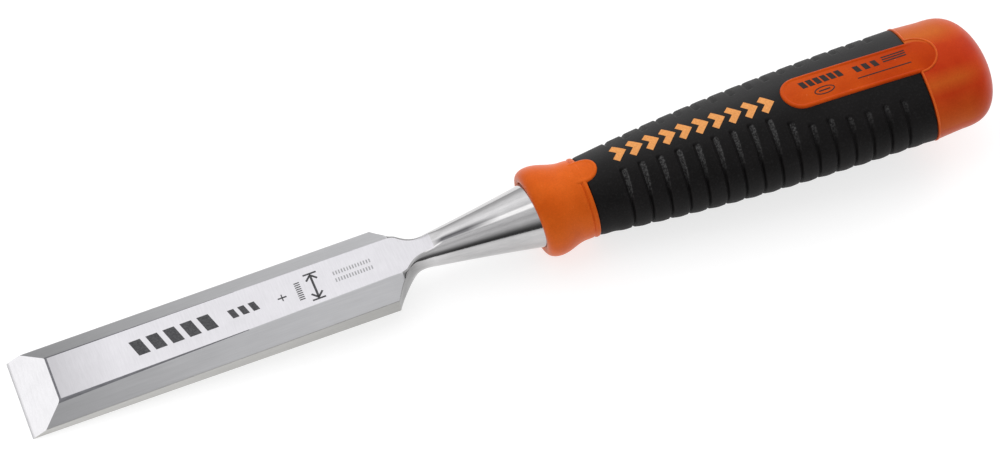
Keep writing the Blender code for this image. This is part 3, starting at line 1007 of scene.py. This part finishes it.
def grip(black):
    points = 288
    outside = [grip_ring(x, points) for x in grip_x_values()]
    inside = [handle_ring(x, GRIP_THICKNESS, points) for x in steps(GRIP_BACK_X, GRIP_FRONT_X, 12)]
    shells = [skin(outside + inside, loop=True)]
    made = piece("grip_sleeve", shells, [black], "grip_sleeve", sharp=60)
    for outline in (panel_outline(grow=0.04), lobe_outline(grow=0.04)):
        cut(made, *prism(outline), sharp=60)


# ---- cap ----


BEAD_X, BEAD_Y, BEAD_ARC = 248.1, 0.25, 5.75
LIP_X = CAP_FRONT_X + 0.35


def bead_path():
    """Plan points of the bead round the panel's back end, from one side of the lip to the other."""
    bend = arc(BEAD_X, BEAD_Y, BEAD_ARC, BEAD_ARC, steps(math.pi / 2, -math.pi / 2, 48))
    path = [(LIP_X, bend[0][1])] + bend + [(LIP_X, bend[-1][1])]
    return [(x, y, handle_top(x, y)) for x, y in path]


def lip_path():
    """Points of the lip round the cap's front edge, under the handle from one bead end to the other."""
    width, height = handle_size(LIP_X)
    ends = [math.acos((BEAD_Y + side * BEAD_ARC) / width) for side in (-1, 1)]
    turns = steps(ends[0], ends[1] + 2 * math.pi, 220)
    return [(LIP_X, width * math.cos(turn), AXIS_HEIGHT + height * math.sin(turn)) for turn in turns]


def tube(path, radius, sides=10):
    """A round bar laid along a path on the handle, half sunk in."""
    points = np.array(path)
    out = points * (0, 1, 1) - (0, 0, AXIS_HEIGHT)
    turns = full_turn(sides)
    rings = []
    for i, point in enumerate(points):
        run = unit(points[min(i + 1, len(points) - 1)] - points[max(i - 1, 0)])
        side = unit(np.cross(run, unit(out[i])))
        up = np.cross(side, run)
        around = [math.cos(turn) * side + 0.8 * math.sin(turn) * up for turn in turns]
        rings.append(point + radius * np.array(around))
    shell_points, faces = skin(rings)
    loop = rings[0]
    if np.cross(loop[1] - loop[0], loop[2] - loop[1]) @ (points[1] - points[0]) < 0:
        faces = [face[::-1] for face in faces]
    return shell_points, faces


def striking_cap(red_orange):
    points = 288
    inside = [handle_ring(x, CAP_WALL, points) for x in (STUB_END_X, DOME_START_X, CAP_FRONT_X)]
    skirt = steps(CAP_FRONT_X, CAP_FRONT_X + 1.6, 16) + steps(CAP_FRONT_X + 1.6, DOME_START_X, 10)[1:]
    dome = [DOME_END_X - (DOME_END_X - DOME_START_X) * (1 - k / 40) ** 2.2 for k in range(1, 40)]
    outside = [handle_ring(x, 0, points) for x in skirt + dome]
    shells = [skin(inside + outside)]
    made = piece("striking_cap", shells, [red_orange], "striking_cap", sharp=50)
    cut(made, *prism(panel_outline(grow=0.03)), sharp=50)


def cap_bead(red_orange):
    shells = [tube(bead_path(), 0.32), tube(lip_path(), 0.27)]
    piece("cap_bead", shells, [red_orange], sharp=60)


# ---- generic marks ----


def bar(x, y, length, thick, slant=0.0):
    """A parallelogram bar: length runs across the blade, thick along it, slant leans it."""
    rows = []
    for t in steps(-0.5, 0.5, max(int(length / 0.5), 2)):
        lean = slant * t * length
        rows.append([(x + lean - thick / 2, y + t * length), (x + lean + thick / 2, y + t * length)])
    return rows


def ribbon(points, width, closed=False):
    """A band of even width along plan points, with its corners mitred."""
    points = [np.array(point, float) for point in points]
    runs = [unit(after - here) for here, after in zip(points, points[1:] + points[:1])]
    rows = []
    for i, here in enumerate(points):
        before = runs[i - 1] if closed or i else runs[0]
        after = runs[i] if closed or i < len(points) - 1 else before
        side = np.array([-before[1] - after[1], before[0] + after[0]]) / 2
        side *= width / 2 / (side @ side)
        rows.append(np.array([here + side, here - side]))
    if closed:
        rows.append(rows[0])
    fine = [rows[0]]
    for one, other in zip(rows, rows[1:]):
        pieces = max(int(np.abs(other - one).max() / 0.5), 1)
        fine += [mix(one, other, t) for t in steps(0, 1, pieces)[1:]]
    return fine


def strip(start, end, width):
    """A straight band between two plan points."""
    return ribbon([start, end], width)


def marks(name, patches, surface, lift, material):
    piece(name, [slab(rows, surface, lift) for rows in patches], [material], sharp=30)


def chevron(x, y, reach, depth, width):
    """A bent band that points at +x."""
    return ribbon([(x - depth, y + reach), (x, y), (x - depth, y - reach)], width)


def blade_marks():
    dark = ink("etched_dark", (0.030, 0.030, 0.034), (0.075, 0.075, 0.08), 0.5)
    faint = ink("etched_faint", (0.30, 0.30, 0.31), (0.42, 0.42, 0.43), 0.45)
    bold = [bar(x, 0.15, 5.0, 3.1, -0.3) for x in steps(33.0, 51.4, 4)]
    small = [bar(x, 0.0, 2.9, 1.7, -0.3) for x in (58.3, 61.1, 63.9)]
    dimension = [strip((80.2, -4.2), (80.2, 3.2), 0.6)]
    for end, way in ((-4.7, 1), (3.7, -1)):
        tip = end + 0.45 * way
        dimension.append(strip((78.4, end), (82.0, end), 0.5))
        dimension.append(ribbon([(78.7, tip + 1.6 * way), (80.2, tip), (81.7, tip + 1.6 * way)], 0.55))
    ticks = [strip((75.4, y), (76.9, y), 0.32) for y in steps(-3.2, 2.2, 8)]
    ticks += [strip((70.2, -0.6), (72.6, -0.6), 0.42), strip((71.4, -1.7), (71.4, 0.5), 0.3)]
    lines = [bar(x, y, 1.2, 0.34) for y in (-1.15, 1.15) for x in steps(86.0, 95.8, 13)]
    marks("blade_marks", bold + small + dimension + ticks, blade_top, 0.02, dark)
    marks("blade_fine_lines", lines, blade_top, 0.015, faint)


def grip_marks():
    print_orange = ink("print_orange", (0.70, 0.27, 0.06), (0.85, 0.36, 0.09), 0.55)
    patches = []
    for x in steps(166.3, 207.0, 9):
        centre = mix(2.2, 0.15, share_of(x, 163, 207))
        patches.append(chevron(x, centre, 2.3, 2.2, 1.9))
    marks("grip_print", patches, handle_top, 0.05, print_orange)


def panel_marks():
    black = ink("print_black", (0.012, 0.006, 0.004), (0.03, 0.012, 0.008), 0.7)
    patches = [bar(x, 2.0, 2.4, 1.5, -0.3) for x in steps(217.2, 227.2, 5)]
    patches += [bar(x, 1.4, 2.2, 1.5, -0.3) for x in (232.2, 234.7, 237.2)]
    patches += [strip((239.4, y), (246.0, y), 0.42) for y in (0.9, 1.7, 2.5)]
    patches += [strip((231.2, -1.6), (246.2, -1.9), 0.32)]
    patches.append(ribbon(arc(221.8, -1.6, 2.7, 1.1, full_turn(32)), 0.3, closed=True))
    patches.append(strip((220.2, -1.6), (223.4, -1.6), 0.4))
    marks("panel_print", patches, lambda x, y: handle_top(x, y) + PANEL_FACE, 0.03, black)


# ---- studio ----

CAMERA_PLACE = (-0.19296546, -0.55547023, 0.764211)
CAMERA_TURN = (37.7654, 1.1816, -20.4007)
LENS = 132.66
FLOOR_REACH = 4.0
FLOOR_COLOUR, FLOOR_GLOW = (0.36, 0.36, 0.36, 1), 0.74

# Sky brightness against the height of a direction, on the near (-y) and far (+y) sides.
NEAR_SKY = ((0.5, 0.10), (0.56, 0.09), (0.645, 0.13), (0.70, 0.30), (0.75, 0.50))
NEAR_SKY += ((0.83, 0.72), (0.90, 0.60), (0.95, 0.78), (1.0, 0.72))
FAR_SKY = ((0.5, 0.53), (0.56, 0.53), (0.67, 0.66), (0.75, 0.92), (0.84, 1.06), (0.905, 1.26), (1.0, 1.0))
SIDE_EDGE = (-0.35, 0.45)
SKY_BLUE = 1.01

# A bright panel overhead: its brightness, then where each soft edge starts and ends.
LIGHT_PANEL = 1.6
LIGHT_HEIGHT = (0.6, 0.75)
LIGHT_EDGES = ((-0.13, -0.16), (-0.25, -0.15), (0.12, 0.02))


def sky():
    """A world whose brightness depends on the direction alone."""
    world = bpy.data.worlds.new("studio")
    world.use_nodes = True
    bpy.context.scene.world = world
    nodes = Nodes(world.node_tree)
    x, y, z = nodes.split(nodes.node("ShaderNodeTexCoord").outputs["Generated"])
    height = nodes.spread(z, -1, 1)
    sides = []
    for stops in (NEAR_SKY, FAR_SKY):
        shades = [(position, (shade, shade, shade * SKY_BLUE)) for position, shade in stops]
        sides.append(nodes.ramp(height, *shades))
    whole = nodes.blend("MIX", nodes.step(y, *SIDE_EDGE), *sides)
    panel = nodes.step(z, *LIGHT_HEIGHT)
    for value, edge in zip((x, y, y), LIGHT_EDGES):
        panel = nodes.math("MULTIPLY", panel, nodes.step(value, *edge))
    whole = nodes.blend("MIX", panel, whole, (LIGHT_PANEL,) * 3)
    nodes.link(whole, nodes.tree.nodes["Background"].inputs["Color"])


def softbox(name, place_at, aim, size, radiance):
    light = bpy.data.lights.new(name, "AREA")
    light.shape = "RECTANGLE"
    light.size, light.size_y = size
    light.energy = radiance * math.pi * size[0] * size[1]
    lamp = placed(name, light)
    lamp.location = place_at
    lamp.rotation_euler = (Vector(aim) - Vector(place_at)).to_track_quat("-Z", "Y").to_euler()
    return lamp


def floor():
    """A pale floor that gives off a little light, so that shadows stay faint."""
    mesh = bpy.data.meshes.new("floor")
    corners = [(x * FLOOR_REACH, y * FLOOR_REACH, 0) for x, y in ((-1, -1), (1, -1), (1, 1), (-1, 1))]
    mesh.from_pydata(corners, [], [(0, 1, 2, 3)])
    made = placed("floor", mesh)
    glow = {"Emission_Color": (1, 1, 1, 1), "Emission_Strength": FLOOR_GLOW}
    pale = Paint("pale_floor", 0.9, Base_Color=FLOOR_COLOUR, Specular_IOR_Level=0.1, **glow)
    mesh.materials.append(pale.material)


def camera():
    data = bpy.data.cameras.new("camera")
    data.sensor_width = 36
    data.lens = LENS
    made = placed("camera", data)
    turn = Euler([math.radians(angle) for angle in CAMERA_TURN], "XYZ")
    made.matrix_world = Matrix.Translation(CAMERA_PLACE) @ turn.to_matrix().to_4x4()
    bpy.context.scene.camera = made


def studio():
    sky()
    floor()
    camera()
    softbox("key", (-0.85, 0.66, 0.56), (-0.1, 0, 0), (0.55, 0.45), 0.3)
    side = softbox("side", (0.72, 0.34, 0.42), (0.1, 0, 0), (0.36, 0.36), 4.5)
    side.visible_glossy = False
    fill = softbox("fill", (-0.1, 0.4, 1.25), (0, 0, 0), (1.1, 0.9), 0.8)
    fill.visible_glossy = False
    bpy.context.scene.view_settings.view_transform = "Standard"


def main():
    collar = ((0.66, 0.1, 0.008), (0.8, 0.145, 0.016))
    panel = ((0.42, 0.026, 0.001), (0.52, 0.05, 0.002))
    cap = ((0.46, 0.028, 0.006), (0.56, 0.055, 0.01))
    orange = moulded("core_orange", 0.36, (1.0, 0.5, 0.18, 1.0), 0.74, collar, mean(collar, panel), panel)
    # The cap's painted light: lighter on its far top, a painted highlight on its near side and lighter
    # towards its lower edge.
    painted_light = ((0.0, 0.3), (0.17, 0.75), (0.24, 0.0), (0.33, 0.0), (0.375, 0.5), (0.41, 0.05), (0.5, 0.5))
    red_orange = moulded("cap_orange", 0.38, (1.0, 0.32, 0.1, 1.0), 0.8, cap, cap, pale=painted_light)
    # The bead's lighter orange is a painted highlight along the cap's front edge and round the panel's
    # end.
    painted_highlight = ((0.60, 0.08, 0.010), (0.72, 0.13, 0.02))
    highlight_orange = moulded("cap_bead_orange", 0.3, (1.0, 0.6, 0.3, 1.0), 0.8, painted_highlight, painted_highlight)
    blade()
    handle_core(orange)
    grip(soft_black())
    striking_cap(red_orange)
    cap_bead(highlight_orange)
    blade_marks()
    grip_marks()
    panel_marks()
    studio()


main()
